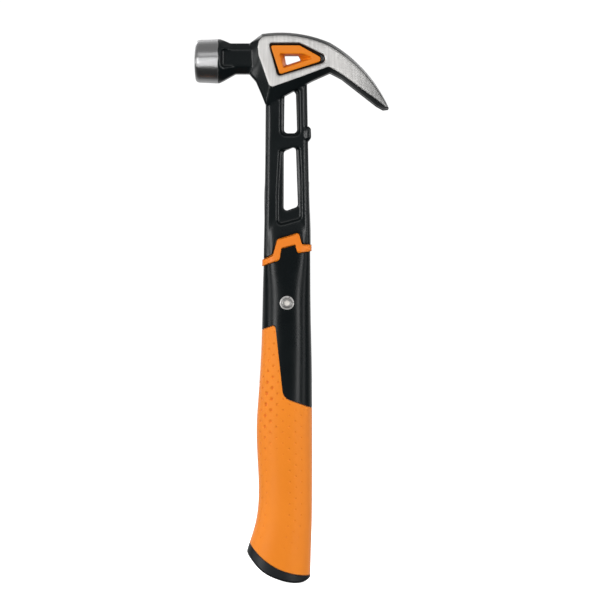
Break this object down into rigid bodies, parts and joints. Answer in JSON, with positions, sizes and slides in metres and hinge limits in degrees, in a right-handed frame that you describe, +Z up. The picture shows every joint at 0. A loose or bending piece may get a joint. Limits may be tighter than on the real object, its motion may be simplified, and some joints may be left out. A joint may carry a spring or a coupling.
{
  "type": "claw hammer",
  "caption": "Claw hammer with a forged steel head and open frame, ground cheeks, a curved nail-pulling claw, an isolating sleeve and a soft orange and black grip.",
  "frame": {"origin": "level of the butt's lowest point, half-way between striking face and claw tip, middle of the thickness", "axes": "+Z up the handle to the head, +X from the striking face to the claw, +Y across the thickness"},
  "size_m": [0.1216, 0.0312, 0.3429],
  "materials": {
    "forging": "satin black paint over forged steel; striking face, cheeks and claws ground bright",
    "insert": "satin moulded plastic, orange",
    "magnet": "nickel plated",
    "sleeve": "satin moulded elastomer, orange",
    "core": "satin moulded plastic, black",
    "grip": "soft moulded elastomer, orange, dimpled",
    "cap": "satin moulded plastic, black",
    "bush": "soft elastomer",
    "washer": "zinc plated",
    "screw": "zinc plated"
  },
  "bodies": {
    "root": {"forged_head": "forging", "insert_left": "insert", "insert_right": "insert", "nail_magnet": "magnet", "isolation_sleeve": "sleeve", "handle_core": "core", "grip": "grip", "butt_cap": "cap", "tang_bush": "bush", "washer_left": "washer", "washer_right": "washer", "handle_screw": "screw", "barrel_nut": "screw"}
  },
  "joints": []
}
